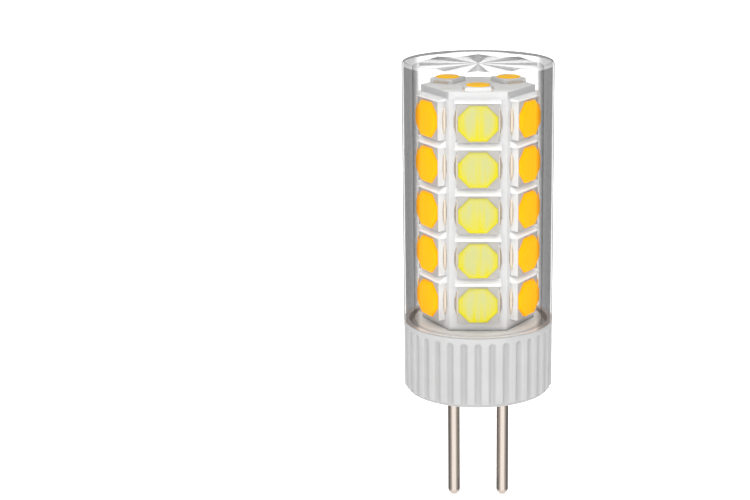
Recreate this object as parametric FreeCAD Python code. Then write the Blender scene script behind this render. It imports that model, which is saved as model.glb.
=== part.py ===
import FreeCAD, Part
import math
import os

# Two-pin LED corn lamp. Millimetres. The origin is the centre of the base's underside, where the lamp
# seats on its holder. +Z runs up the lamp, the pins lie along X and one flat of the core faces -Y.

Vector = FreeCAD.Vector
Z_AXIS = Vector(0, 0, 1)
ORIGIN = Vector(0, 0, 0)

# Overall sizes
bulb_diameter = 16.0
body_length = 35.6
base_height = 7.7
pin_length = 12.7
pin_spacing = 5.33
pin_diameter = 1.3

# Clearances between pieces
fit_clearance = 0.05
board_clearance = 0.03

# Moulded base
base_floor = 1.6
rim_wall = 0.5
ledge_width = 1.6
foot_rim_height = 0.35
shoulder_height = 0.7
flute_count = 33
flute_width = 0.58
flute_depth = 0.3
flute_crown = 0.2

# Clear cover
cover_wall = 1.1
cover_top_thickness = 0.6
cover_edge_bevel = 0.3
rosette_count = 8
rosette_margin = 0.25
rosette_depth = 0.35
rosette_centre_depth = 0.25

# Six-sided core
side_count = 6
row_count = 5
core_gap = 0.9
head_room = 1.94
carrier_wall = 0.55
post_width = 0.8
bar_projection = 0.9
bar_end_gap = 0.6
bar_height = 0.7
bar_edge = 0.25
foot_band = 0.985
head_band = 0.315

# Side LED packages
housing_depth = 1.4
phosphor_side_rim = 0.1
phosphor_end_rim = 0.185
phosphor_corner_cut = 1.15
phosphor_recess = 0.5
phosphor_proud = 0.42
phosphor_bevel = 0.27
terminal_end_gap = 0.575
terminal_bulge = 0.29
terminal_half_depth = 0.3
terminal_lift = 0.6

# Circuit boards
strip_thickness = 0.8
top_board_thickness = 0.71
driver_board_thickness = 0.8
tab_width = 2.0

# LED packages on the top board
top_led_count = 3
top_led_margin = 0.12
top_housing_size = 2.75
top_housing_height = 0.5
top_phosphor_size = 2.4
top_phosphor_corner_cut = 0.7
top_phosphor_recess = 0.25
top_phosphor_proud = 0.12
top_phosphor_bevel = 0.1
top_terminal_length = 1.6
top_terminal_width = 0.2
top_terminal_height = 0.22

# Contact pins inside the base
pin_seat_depth = 0.1
pin_neck_width = 0.8
pin_tip_height = 0.6
solder_radius = 0.75
solder_height = 0.6

# Driver components under the driver board
capacitor_radius = 1.4
capacitor_height = 3.6
rectifier_length = 3.2
rectifier_width = 2.0
rectifier_height = 1.4
rectifier_span = 2.9
chip_length = 1.9
chip_width = 0.8
chip_height = 0.9
chip_span = 1.4
lead_width = 0.4
lead_thickness = 0.2
resistor_length = 1.6
resistor_width = 0.8
resistor_height = 0.45
resistor_cap = 0.3
resistor_gap = 0.15

# Radii and heights that follow from those above
base_radius = bulb_diameter / 2
foot_apothem = base_radius - flute_depth
rim_radius = base_radius - rim_wall
flute_top = base_height - shoulder_height
ledge_height = base_height - driver_board_thickness
cover_inner_radius = base_radius - cover_wall
cover_ceiling = body_length - cover_top_thickness
driver_board_radius = cover_inner_radius - fit_clearance
cavity_apothem = driver_board_radius - ledge_width
pin_radius = pin_diameter / 2
pin_tip_flat = pin_radius / 2
pin_tip_waist = 0.9 * pin_radius
pin_places = {"left": -pin_spacing / 2, "right": pin_spacing / 2}

# The core's sides, which fill the cover's width
half_side_angle = math.pi / side_count
core_corner_radius = cover_inner_radius - core_gap
half_side = core_corner_radius * math.sin(half_side_angle)
carrier_apothem = core_corner_radius * math.cos(half_side_angle)
board_apothem = carrier_apothem - carrier_wall
strip_apothem = board_apothem - strip_thickness
bar_apothem = carrier_apothem + bar_projection
bar_half_length = half_side - bar_end_gap
housing_apothem = board_apothem + housing_depth
housing_width = 2 * (half_side - post_width - board_clearance)
phosphor_width = housing_width - 2 * phosphor_side_rim
side_angles = [360.0 * side / side_count for side in range(side_count)]

# The core's rows, which fill the cover's height
top_board_top = cover_ceiling - head_room
core_top = top_board_top - top_board_thickness
core_height = core_top - base_height
row_pitch = (core_height - foot_band - head_band + bar_height) / row_count
window_height = row_pitch - bar_height
housing_height = window_height - 2 * board_clearance
phosphor_height = housing_height - 2 * phosphor_end_rim
terminal_half_height = housing_height / 2 - terminal_end_gap
first_row_height = base_height + foot_band + window_height / 2
row_heights = [first_row_height + row_pitch * row for row in range(row_count)]

# The top board's packages and the driver's components
top_led_offset = carrier_apothem - top_led_margin - top_housing_size / 2
top_led_angles = [360.0 * led / top_led_count for led in range(top_led_count)]
component_gap = (2 * cavity_apothem - rectifier_span - chip_span - 2 * capacitor_radius) / 4
rectifier_y = component_gap + rectifier_span / 2 - cavity_apothem
chip_y = rectifier_y + rectifier_span / 2 + component_gap + chip_span / 2
capacitor_y = cavity_apothem - component_gap - capacitor_radius


def box(size_x, size_y, size_z, centre_x, centre_y, low_z):
    """A block centred in X and Y that stands on low_z."""
    corner = Vector(centre_x - size_x / 2, centre_y - size_y / 2, low_z)
    return Part.makeBox(size_x, size_y, size_z, corner)


def cylinder(radius, low_z, high_z, x=0.0, y=0.0):
    return Part.makeCylinder(radius, high_z - low_z, Vector(x, y, low_z))


def face_of(points):
    """A flat face inside a closed run of straight edges."""
    return Part.Face(Part.makePolygon(points + points[:1]))


def revolved(points):
    """A turned piece from the corners of its half section, given as radius and height."""
    profile = face_of([Vector(radius, 0, height) for radius, height in points])
    return profile.revolve(ORIGIN, Z_AXIS, 360)


def prism(sides, apothem, low_z, high_z):
    """A regular prism with one flat towards -Y."""
    half_angle = math.pi / sides
    radius = apothem / math.cos(half_angle)
    corners = []
    for side in range(sides):
        angle = -math.pi / 2 + half_angle * (2 * side + 1)
        corners.append(Vector(radius * math.cos(angle), radius * math.sin(angle), low_z))
    return face_of(corners).extrude(Vector(0, 0, high_z - low_z))


def turned(shape, angle):
    """A copy turned about the lamp's axis."""
    copy = shape.copy()
    copy.rotate(ORIGIN, Z_AXIS, angle)
    return copy


def raised(shape, height):
    copy = shape.copy()
    copy.translate(Vector(0, 0, height))
    return copy


def solid_of(faces):
    """A solid inside a closed set of flat faces."""
    solid = Part.Solid(Part.Shell(faces))
    if solid.Volume < 0:
        solid.reverse()
    return solid


def octagon(width, height, corner_cut):
    """Corner points of a rectangle with its corners cut off, as pairs about its centre."""
    w = width / 2
    h = height / 2
    c = corner_cut
    return [(w, c - h), (w, h - c), (w - c, h), (c - w, h), (-w, h - c), (-w, c - h), (c - w, -h), (w - c, -h)]


def bevelled_plate(points, direction, thickness, bevel):
    """A plate pulled from a flat outline, with its far edges bevelled."""
    plate = face_of(points).extrude(direction * thickness)
    far = points[0].dot(direction) + thickness
    rim = [e for e in plate.Edges if all(abs(v.Point.dot(direction) - far) < 1e-6 for v in e.Vertexes)]
    return plate.makeChamfer(bevel, rim)


def make_flute():
    """The hollow of one flute on the -Y side, with a bevelled crown."""
    half = flute_width / 2
    outline = [
        (half, 0), (half, flute_top - flute_crown), (half - flute_crown, flute_top),
        (flute_crown - half, flute_top), (-half, flute_top - flute_crown), (-half, 0)]
    return face_of([Vector(x, -foot_apothem, z) for x, z in outline]).extrude(Vector(0, -bulb_diameter, 0))


def make_base():
    """The moulded base: a fluted cup with a floor for the pins and a ledge for the driver board."""
    cup = cylinder(base_radius, foot_rim_height, base_height)
    cup = cup.fuse(prism(flute_count, foot_apothem, 0, base_height))
    seat_width = pin_diameter + 2 * fit_clearance
    hollows = [
        cylinder(rim_radius, ledge_height, base_height),
        prism(side_count, cavity_apothem, base_floor, base_height),
        box(pin_spacing + seat_width, seat_width, pin_seat_depth, 0, 0, 0)]
    hollows.extend(make_neck(x, fit_clearance, 0, base_floor) for x in pin_places.values())
    flute = make_flute()
    hollows.extend(turned(flute, 360.0 * index / flute_count) for index in range(flute_count))
    return cup.cut(hollows).removeSplitter()


def make_rosette():
    """A pleated eight-fold hollow for the underside of the cover's top."""
    centre = Vector(0, 0, cover_ceiling + rosette_centre_depth)
    step = 2 * math.pi / rosette_count
    ridge_radius = cover_inner_radius - rosette_margin
    valley_radius = ridge_radius * math.cos(step / 2)
    valley_height = cover_ceiling + rosette_depth
    ridges = []
    valleys = []
    for petal in range(rosette_count):
        angle = step * (petal + 0.5)
        ridges.append(Vector(ridge_radius * math.cos(angle), ridge_radius * math.sin(angle), cover_ceiling))
        angle += step / 2
        valleys.append(Vector(valley_radius * math.cos(angle), valley_radius * math.sin(angle), valley_height))
    faces = [face_of(ridges)]
    for petal in range(rosette_count):
        ridge = ridges[petal]
        valley = valleys[petal]
        next_ridge = ridges[(petal + 1) % rosette_count]
        faces.append(face_of([centre, ridge, valley]))
        faces.append(face_of([centre, valley, next_ridge]))
        faces.append(face_of([ridge, next_ridge, valley]))
    return solid_of(faces)


def make_cover():
    """The clear cover: a cup whose shoulder rests on the base's rim, with a skirt inside the rim."""
    skirt_radius = rim_radius - fit_clearance
    skirt_bottom = ledge_height + fit_clearance
    shell = revolved([
        (cover_inner_radius, skirt_bottom), (skirt_radius, skirt_bottom), (skirt_radius, base_height),
        (base_radius, base_height), (base_radius, body_length - cover_edge_bevel),
        (base_radius - cover_edge_bevel, body_length), (0, body_length), (0, cover_ceiling),
        (cover_inner_radius, cover_ceiling)])
    return shell.cut(make_rosette())


def make_neck(x, clearance, low_z, high_z):
    """The square neck of one pin between two heights, or its hole when a clearance is given."""
    width = pin_neck_width + 2 * clearance
    return box(width, width, high_z - low_z, x, 0, low_z)


def make_pin(x):
    """A contact pin: rounded tip, shoulder seated in the base and a neck that runs through the driver board."""
    shank = revolved([
        (0, -pin_length), (pin_tip_flat, -pin_length), (pin_tip_waist, pin_tip_height / 2 - pin_length),
        (pin_radius, pin_tip_height - pin_length), (pin_radius, pin_seat_depth), (0, pin_seat_depth)])
    shank.translate(Vector(x, 0, 0))
    return shank.fuse(make_neck(x, 0, pin_seat_depth, base_height)).removeSplitter()


def make_pin_solder():
    """Cones of solder over the ends of the pins' necks, on top of the driver board."""
    return Part.makeCompound([
        Part.makeCone(solder_radius, 0, solder_height, Vector(x, 0, base_height)) for x in pin_places.values()])


def make_tab(clearance, low_z, high_z):
    """The tab of the strip that faces -Y between two heights, or its slot when a clearance is given."""
    middle = (strip_apothem + board_apothem) / 2
    return box(tab_width + 2 * clearance, strip_thickness + 2 * clearance, high_z - low_z, 0, -middle, low_z)


def make_slots(low_z, high_z):
    slot = make_tab(board_clearance, low_z, high_z)
    return [turned(slot, angle) for angle in side_angles]


def make_strip_board():
    """One mitred circuit strip with a tab at each end, on the side that faces -Y."""
    outer = board_apothem * math.tan(half_side_angle) - board_clearance
    inner = strip_apothem * math.tan(half_side_angle) - board_clearance
    outline = [
        Vector(-outer, -board_apothem, base_height), Vector(outer, -board_apothem, base_height),
        Vector(inner, -strip_apothem, base_height), Vector(-inner, -strip_apothem, base_height)]
    strip = face_of(outline).extrude(Vector(0, 0, core_height))
    return strip.fuse(make_tab(0, ledge_height, top_board_top)).removeSplitter()


def make_window():
    """The opening for one package: its housing and a bowed notch at each end for the terminals."""
    wall = housing_width / 2 + board_clearance
    bulge = wall + terminal_bulge
    end = terminal_half_height + board_clearance
    half = window_height / 2
    right = [(wall, -half), (wall, -end), (bulge, -end / 3), (bulge, end / 3), (wall, end), (wall, half)]
    left = [(-x, -z) for x, z in right]
    outline = [Vector(x, -strip_apothem, z) for x, z in right + left]
    return face_of(outline).extrude(Vector(0, strip_apothem - housing_apothem - bar_projection, 0))


def make_bars():
    """The bars of one side as one comb: each slopes down from the wall to a thin front edge."""
    root = (board_apothem + carrier_apothem) / 2
    lows = [height + window_height / 2 for height in row_heights]
    highs = [height - window_height / 2 for height in row_heights[1:]] + [core_top]
    outline = [(root, core_top), (root, first_row_height)]
    for low, high in zip(lows, highs):
        edge = min(bar_edge, (high - low) / 2)
        outline.extend([
            (carrier_apothem, low), (bar_apothem, low), (bar_apothem, low + edge), (carrier_apothem, high)])
    points = [Vector(-bar_half_length, -apothem, height) for apothem, height in outline]
    return face_of(points).extrude(Vector(2 * bar_half_length, 0, 0))


def make_carrier():
    """The white six-sided frame: a tube with a comb of bars and a column of windows on each side."""
    bars = make_bars()
    frame = prism(side_count, carrier_apothem, base_height, core_top)
    frame = frame.fuse([turned(bars, angle) for angle in side_angles])
    openings = [prism(side_count, board_apothem + board_clearance, base_height, core_top)]
    window = make_window()
    for angle in side_angles:
        openings.extend(turned(raised(window, height), angle) for height in row_heights)
    return frame.cut(openings).removeSplitter()


def phosphor_outline():
    """The eight corners of a side package's phosphor, on the floor of its pocket and about z = 0."""
    floor = housing_apothem - phosphor_recess
    corners = octagon(phosphor_width, phosphor_height, phosphor_corner_cut)
    return [Vector(x, -floor, z) for x, z in corners]


def make_housing():
    """One LED housing with an eight-sided pocket, centred on z = 0 and facing -Y."""
    middle = (board_apothem + housing_apothem) / 2
    block = box(housing_width, housing_depth, housing_height, 0, -middle, -housing_height / 2)
    return block.cut(face_of(phosphor_outline()).extrude(Vector(0, -phosphor_recess, 0)))


def make_phosphor():
    """The eight-sided phosphor window that fills a housing's pocket and stands proud with bevelled edges."""
    thickness = phosphor_recess + phosphor_proud
    return bevelled_plate(phosphor_outline(), Vector(0, -1, 0), thickness, phosphor_bevel)


def make_terminal(side):
    """One end contact: a faceted lens on the end wall of a housing, with side 1 or -1 for the right or the left."""
    wall = side * housing_width / 2
    crest = wall + side * terminal_bulge
    half = terminal_half_height
    belly = half / 3
    middle = -(board_apothem + terminal_lift)
    back = middle + terminal_half_depth
    front = middle - terminal_half_depth
    crests = [Vector(crest, middle, -belly), Vector(crest, middle, belly)]
    tips = [Vector(wall, middle, -half), Vector(wall, middle, half)]
    backs = [Vector(wall, back, -belly), Vector(wall, back, belly)]
    fronts = [Vector(wall, front, -belly), Vector(wall, front, belly)]
    faces = [face_of([tips[0], backs[0], backs[1], tips[1], fronts[1], fronts[0]])]
    for flank in (backs, fronts):
        faces.append(face_of([flank[0], flank[1], crests[1], crests[0]]))
        faces.extend(face_of([tips[end], flank[end], crests[end]]) for end in (0, 1))
    return solid_of(faces)


def make_column(pieces, angle):
    """A column of like solids, one for each row, on one side of the core."""
    solids = []
    for height in row_heights:
        solids.extend(turned(raised(piece, height), angle) for piece in pieces)
    return Part.makeCompound(solids)


def make_top_board():
    """The six-sided board on top of the core, slotted for the strips' tabs."""
    board = prism(side_count, carrier_apothem, core_top, top_board_top)
    return board.cut(make_slots(core_top, top_board_top))


def top_phosphor_outline():
    """The eight corners of a top package's phosphor on the floor of its pocket, on the -Y side."""
    floor = top_board_top + top_housing_height - top_phosphor_recess
    corners = octagon(top_phosphor_size, top_phosphor_size, top_phosphor_corner_cut)
    return [Vector(x, y - top_led_offset, floor) for x, y in corners]


def make_top_housing():
    block = box(top_housing_size, top_housing_size, top_housing_height, 0, -top_led_offset, top_board_top)
    return block.cut(face_of(top_phosphor_outline()).extrude(Vector(0, 0, top_phosphor_recess)))


def make_top_phosphor():
    thickness = top_phosphor_recess + top_phosphor_proud
    return bevelled_plate(top_phosphor_outline(), Z_AXIS, thickness, top_phosphor_bevel)


def make_top_terminals():
    """Two foot contacts at the ends of a top package."""
    reach = (top_housing_size + top_terminal_width) / 2
    return [box(top_terminal_width, top_terminal_length, top_terminal_height, x, -top_led_offset, top_board_top)
            for x in (-reach, reach)]


def make_ring(pieces):
    """Copies of a top package's solids round the lamp's axis."""
    return Part.makeCompound([turned(piece, angle) for angle in top_led_angles for piece in pieces])


def make_driver_board():
    """The round board on the base's ledge, slotted for the strips and drilled for the pins."""
    board = cylinder(driver_board_radius, ledge_height, base_height)
    holes = [make_neck(x, board_clearance, ledge_height, base_height) for x in pin_places.values()]
    return board.cut(make_slots(ledge_height, base_height) + holes)


def make_leaded_package(length, width, height, span, leads_per_side, y):
    """A moulded component under the driver board with flat leads on its two long sides."""
    body = box(length, width, height, 0, y, ledge_height - height)
    pitch = length / leads_per_side
    leads = []
    for lead in range(leads_per_side):
        x = pitch * (lead + 0.5) - length / 2
        leads.append(box(lead_width, span, lead_thickness, x, y, ledge_height - lead_thickness))
    return body.fuse(leads).removeSplitter()


def make_resistors():
    """Two chip resistors beside the capacitor, with raised end caps."""
    x = capacitor_radius + resistor_gap + resistor_length / 2
    low = ledge_height - resistor_height
    resistors = []
    for side in (-1, 1):
        block = box(resistor_length, resistor_width, resistor_height, side * x, capacitor_y, low)
        waist_length = resistor_length - 2 * resistor_cap
        waist = box(waist_length, resistor_width, resistor_height / 8, side * x, capacitor_y, low)
        resistors.append(block.cut(waist))
    return Part.makeCompound(resistors)


parts = {
    "base": make_base(),
    "cover": make_cover(),
    "pin_solder_joints": make_pin_solder(),
    "led_carrier": make_carrier(),
    "top_board": make_top_board(),
    "top_led_housings": make_ring([make_top_housing()]),
    "top_led_phosphors": make_ring([make_top_phosphor()]),
    "top_led_terminals": make_ring(make_top_terminals()),
    "driver_board": make_driver_board(),
    "bridge_rectifier": make_leaded_package(
        rectifier_length, rectifier_width, rectifier_height, rectifier_span, 2, rectifier_y),
    "driver_chip": make_leaded_package(chip_length, chip_width, chip_height, chip_span, 3, chip_y),
    "smoothing_capacitor": cylinder(
        capacitor_radius, ledge_height - capacitor_height, ledge_height, 0, capacitor_y),
    "sense_resistors": make_resistors(),
}

for pin_name, pin_x in pin_places.items():
    parts["contact_pin_" + pin_name] = make_pin(pin_x)

strip_board = make_strip_board()
housing = make_housing()
phosphor = make_phosphor()
terminals = [make_terminal(1), make_terminal(-1)]
for side, side_angle in enumerate(side_angles, start=1):
    parts[f"strip_board_{side}"] = turned(strip_board, side_angle)
    parts[f"led_housings_{side}"] = make_column([housing], side_angle)
    parts[f"led_phosphors_{side}"] = make_column([phosphor], side_angle)
    parts[f"led_terminals_{side}"] = make_column(terminals, side_angle)

os.makedirs("parts", exist_ok=True)
for part_name, part_shape in parts.items():
    part_shape.exportStep(os.path.join("parts", part_name + ".step"))
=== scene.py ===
import math

import bmesh
import bpy
from bpy.props import FloatProperty, FloatVectorProperty, IntProperty, PointerProperty
from mathutils import Matrix, Vector


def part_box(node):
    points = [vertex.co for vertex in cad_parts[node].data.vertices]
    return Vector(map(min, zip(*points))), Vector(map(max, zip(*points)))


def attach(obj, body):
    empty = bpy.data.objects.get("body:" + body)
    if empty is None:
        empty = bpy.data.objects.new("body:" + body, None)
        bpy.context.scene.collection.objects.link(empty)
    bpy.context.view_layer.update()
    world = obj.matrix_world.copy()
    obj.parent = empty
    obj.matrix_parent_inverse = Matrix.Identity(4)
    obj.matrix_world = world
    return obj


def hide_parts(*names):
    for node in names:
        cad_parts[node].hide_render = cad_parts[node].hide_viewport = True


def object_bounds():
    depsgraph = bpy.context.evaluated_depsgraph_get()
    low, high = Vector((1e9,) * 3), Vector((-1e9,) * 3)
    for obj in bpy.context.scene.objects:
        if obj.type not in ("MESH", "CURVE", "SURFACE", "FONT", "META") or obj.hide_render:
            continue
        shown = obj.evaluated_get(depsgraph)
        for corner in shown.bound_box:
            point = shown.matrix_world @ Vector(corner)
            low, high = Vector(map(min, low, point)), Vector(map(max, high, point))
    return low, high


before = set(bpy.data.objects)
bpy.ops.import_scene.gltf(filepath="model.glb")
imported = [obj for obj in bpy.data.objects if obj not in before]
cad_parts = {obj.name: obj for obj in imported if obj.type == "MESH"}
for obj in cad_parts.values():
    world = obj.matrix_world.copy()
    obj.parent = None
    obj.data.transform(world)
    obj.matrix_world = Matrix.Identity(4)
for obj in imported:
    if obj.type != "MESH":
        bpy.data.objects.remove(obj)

bl_info = {
    "name": "Corn LED bulb",
    "version": (1, 0, 0),
    "blender": (4, 5, 0),
    "location": "View3D > Sidebar > Corn Bulb",
    "description": "Dresses the solids of a two-pin corn LED bulb and sets up its studio",
    "category": "Object",
}

MM = 0.001
MERGE_DISTANCE = 0.002 * MM
SIDES = 6
SIDE_TURN = 2 * math.pi / SIDES
ROWS = 5
TOP_LEDS = 3
FANS = 8
RELIEF_DEPTH = 0.01 * MM

# Places of the solids, read from the frame
cad_low, cad_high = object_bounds()
cover_low, cover_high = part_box("cover")
pin_low, pin_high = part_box("contact_pin_right")
housing_low, housing_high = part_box("led_housings_1")
phosphor_low, phosphor_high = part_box("led_phosphors_1")
terminal_low, terminal_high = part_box("led_terminals_1")
board_low, board_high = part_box("top_board")
top_housing_low, top_housing_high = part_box("top_led_housings")
base_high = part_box("base")[1]
carrier_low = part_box("led_carrier")[0]
driver_board_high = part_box("driver_board")[1]
top_phosphor_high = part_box("top_led_phosphors")[1]


# Kinds of settings

def length(name, description, default):
    """A size in metres."""
    return FloatProperty(name=name, description=description, default=default, min=0, precision=5,
                         unit="LENGTH")


def point(name, description, default):
    """A point in the lamp's frame."""
    return FloatVectorProperty(name=name, description=description, default=default, size=3,
                               subtype="TRANSLATION", unit="LENGTH")


def colour(name, description, default):
    """A colour in linear light."""
    return FloatVectorProperty(name=name, description=description, default=default, min=0, max=1,
                               size=3, subtype="COLOR")


def number(name, description, default):
    """A plain amount."""
    return FloatProperty(name=name, description=description, default=default, min=0)


def wattage(name, description, default):
    """The power of a light panel."""
    return FloatProperty(name=name, description=description, default=default, min=0, unit="POWER")


class CoverSettings(bpy.types.PropertyGroup):
    """The clear cover."""
    radius: length("Radius", "Outer radius of the cover", cover_high.x)
    wall: length("Wall", "Thickness of the side wall", 1.1 * MM)
    top_thickness: length("Top", "Thickness of the flat top", 0.6 * MM)
    edge_round: length("Edge round", "Rounding of the top edge", 0.35 * MM)
    corner_round: length("Corner round", "Rounding of the corner under the top", 0.1 * MM)
    skirt_gap: length("Skirt gap", "How far the skirt stands inside the cover's outer wall", 0.55 * MM)
    seat_gap: length("Seat gap", "Bond between the cover and the base's rim", 0.01 * MM)
    rosette_radius: length("Rosette radius", "Reach of the pleated rosette under the top", 6.65 * MM)
    rosette_depth: length("Rosette depth", "Depth of the pleats", 0.35 * MM)
    rosette_centre: length("Rosette centre", "Depth of the rosette's centre", 0.25 * MM)
    seat_tone: colour("Seat", "Frosted plastic where the cover is bonded to the base", (0.71, 0.69, 0.68))


class BaseSettings(bpy.types.PropertyGroup):
    """The moulded base."""
    radius: length("Radius", "Radius over the ribs", base_high.x)
    height: length("Height", "Height of the base", base_high.z)
    flutes: IntProperty(name="Flutes", description="Flutes round the base", default=33, min=3)
    flute_width: length("Flute width", "Width of a flute", 0.58 * MM)
    flute_depth: length("Flute depth", "Depth of a flute", 0.3 * MM)
    flute_round: length("Flute round", "Half width of a flute's sloping wall", 0.19 * MM)
    foot_round: length("Foot round", "Chamfer of the foot and of the ribs' lower ends", 0.09 * MM)
    shoulder_height: length("Shoulder", "Plain band above the flutes", 0.7 * MM)
    shoulder_round: length("Shoulder round", "Rounding under the cover", 0.22 * MM)
    foot_height: length("Foot", "Height of the plain foot under the ribs", 0.35 * MM)
    floor: length("Floor", "Thickness of the floor", 1.6 * MM)
    rim_wall: length("Rim wall", "Wall round the cover's skirt", 0.5 * MM)
    ledge_depth: length("Ledge depth", "Depth of the driver board's ledge", 0.8 * MM)
    cavity_radius: length("Cavity", "Radius of the hollow for the driver", 5.2 * MM)
    tone: colour("Colour", "Pale grey of the moulding", (0.435, 0.435, 0.435))
    # Painted shade: this share of the grey is left at the bottom of the flutes
    flute_painted_shade: number("Flute shade", "How much of that grey is left in the flutes", 0.88)


class PinSettings(bpy.types.PropertyGroup):
    """The contact pins."""
    radius: length("Radius", "Radius of a pin", (pin_high.x - pin_low.x) / 2)
    offset: length("Offset", "Distance of a pin from the axis", (pin_high.x + pin_low.x) / 2)
    seat: length("Seat", "Depth of a pin's shoulder in the base", 0.1 * MM)
    neck_width: length("Neck", "Width of the square neck", 0.8 * MM)
    tone: colour("Colour", "Warm nickel of the pins", (0.80, 0.70, 0.62))


class CoreSettings(bpy.types.PropertyGroup):
    """The white carrier, the boards and the driver."""
    carrier_edge: length("Carrier edge", "Bevel on the carrier's edges", 0.04 * MM)
    board_edge: length("Board bevel", "Bevel on the top board's edges", 0.05 * MM)
    board_mask: length("Board mask", "White mask over the top board and its tabs", 0.015 * MM)
    bar_projection: length("Bar projection", "How far the bars stand out from the walls", 0.9 * MM)
    # The grey line at the carrier's foot is a painted shadow where the foot meets the driver board
    foot_shadow_height: length("Foot line", "Height of the grey line at the carrier's foot", 0.5 * MM)
    carrier_tone: colour("Carrier", "White of the carrier", (0.58, 0.58, 0.58))
    # The bars' brighter white is painted light: they are of the carrier's own moulding, lifted out of the
    # shade under the packages
    bar_lit_tone: colour("Bars", "Brighter white of the polished bars", (0.8, 0.8, 0.8))
    board_tone: colour("Board face", "White face of the boards", (0.76, 0.76, 0.75))
    edge_tone: colour("Board edge", "Grey cut edge of the top board", (0.66, 0.66, 0.66))
    cream_tone: colour("Driver board", "Cream laminate of the driver board", (0.74, 0.72, 0.69))
    compound_tone: colour("Compound", "Black of the driver's moulded components", (0.03, 0.03, 0.032))
    can_tone: colour("Can", "Bare metal of the capacitor's can", (0.7, 0.7, 0.72))
    solder_tone: colour("Solder", "Grey of the solder at the pins", (0.62, 0.62, 0.6))


class PackageSettings(bpy.types.PropertyGroup):
    """The LED packages."""
    height: length("Height", "Height of a side package", 4.05 * MM)
    edge: length("Edge", "Bevel on a housing's edges", 0.07 * MM)
    corner_cut: length("Corner cut", "Cut across the phosphor's corners", 1.15 * MM)
    phosphor_height: length("Phosphor height", "Height of a side phosphor", 3.68 * MM)
    phosphor_bevel: length("Phosphor bevel", "Rounding of the phosphor's rim", 0.27 * MM)
    terminal_height: length("Terminal height", "Height of an end contact", 2.9 * MM)
    top_offset: length("Top offset", "Distance of a top package from the axis", 3.701 * MM)
    top_phosphor: length("Top phosphor", "Width of a top phosphor", 2.4 * MM)
    top_corner_cut: length("Top corner cut", "Cut across a top phosphor's corners", 0.7 * MM)
    top_bevel: length("Top bevel", "Rounding of a top phosphor's rim", 0.1 * MM)
    housing_tone: colour("Housing", "Warm light grey of the housings' faces", (0.405, 0.387, 0.37))
    housing_wall_tone: colour("Housing walls", "White of the housings' walls", (0.68, 0.67, 0.66))
    top_housing_tone: colour("Top housing", "White of the top packages' housings", (0.64, 0.635, 0.63))
    amber_deep: colour("Amber", "Deep amber of the phosphor on most sides", (0.85, 0.328, 0.0))
    amber_pale: colour("Amber pale", "Paler streaks in that amber", (0.88, 0.366, 0.0))
    top_amber_deep: colour("Top amber", "Amber of the top packages' phosphor", (0.7, 0.36, 0.0))
    top_amber_pale: colour("Top amber pale", "Paler streaks in that amber", (0.73, 0.4, 0.0))
    lemon_deep: colour("Lemon", "Yellow of the front column's phosphor", (0.51, 0.45, 0.01))
    lemon_pale: colour("Lemon pale", "Pale streaks in that yellow", (0.42, 0.42, 0.17))
    amber_streak: length("Amber streak", "Width of the streaks in amber phosphor", 0.4 * MM)
    lemon_streak: length("Lemon streak", "Width of the streaks in the front phosphor", 0.45 * MM)
    # The phosphors' glow is painted light, an emission that stands in part for their fluorescence in daylight
    amber_painted_glow: number("Amber glow", "How far the amber phosphor glows in daylight", 0.45)
    lemon_painted_glow: number("Lemon glow", "How far the front phosphor glows in daylight", 0.3)
    terminal_tone: colour("Terminal", "Cream plating of the end contacts", (0.86, 0.75, 0.62))


class StageSettings(bpy.types.PropertyGroup):
    """The studio."""
    floor_size: length("Floor", "Width of the floor", 4.0)
    floor_deep: colour("Floor colour", "Pale grey of the floor", (0.88, 0.88, 0.88))
    floor_pale: colour("Floor pale", "Paler clouds in that grey", (0.9, 0.9, 0.9))
    floor_glow: number("Floor glow", "Light that the pale floor adds of its own", 0.45)
    camera_distance: length("Camera distance", "How far the camera stands in front of the axis", 0.1841)
    camera_height: length("Camera height", "Height of the camera over the base's underside", 0.0626)
    camera_tilt: FloatProperty(name="Camera tilt", description="How far the camera looks down",
                               default=math.radians(14.45), subtype="ANGLE")
    lens: FloatProperty(name="Lens", description="Focal length", default=85.2, subtype="DISTANCE_CAMERA")
    shift: FloatProperty(name="Shift", description="Sideways shift of the picture", default=-0.1375)
    front_place: point("Front panel", "Where the front panel hangs", (-0.12, -0.6, 0.16))
    front_size: length("Front panel size", "Width of the front panel", 0.5)
    front_power: wattage("Front panel power", "Power of the front panel", 1.06)
    right_place: point("Right panel", "Where the right panel hangs", (0.5, -0.3, 0.2))
    right_size: length("Right panel size", "Width of the right panel", 0.4)
    right_power: wattage("Right panel power", "Power of the right panel", 0.1)
    back_place: point("Back panel", "Where the back panel hangs", (0.12, 0.6, 0.16))
    back_size: length("Back panel size", "Width of the back panel", 0.5)
    back_power: wattage("Back panel power", "Power of the back panel", 0.4)
    front_light: number("Front light", "Brightness of the room in front", 1.2)
    front_quarter_light: number("Front quarter light", "Brightness beside the front", 0.55)
    side_light: number("Side light", "Brightness at the sides", 0.16)
    back_light: number("Back light", "Brightness behind the lamp", 0.35)
    top_light: number("Top light", "Brightness overhead", 1.9)
    ground_light: number("Ground light", "Brightness from below", 0.9)


class LampSettings(bpy.types.PropertyGroup):
    """Sizes and colours of the corn LED bulb."""
    cover: PointerProperty(name="Cover", description="The clear cover", type=CoverSettings)
    base: PointerProperty(name="Base", description="The moulded base", type=BaseSettings)
    pins: PointerProperty(name="Pins", description="The contact pins", type=PinSettings)
    core: PointerProperty(name="Core", description="The carrier, boards and driver", type=CoreSettings)
    packages: PointerProperty(name="Packages", description="The LED packages", type=PackageSettings)
    stage: PointerProperty(name="Stage", description="The studio", type=StageSettings)


# Meshes

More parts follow.
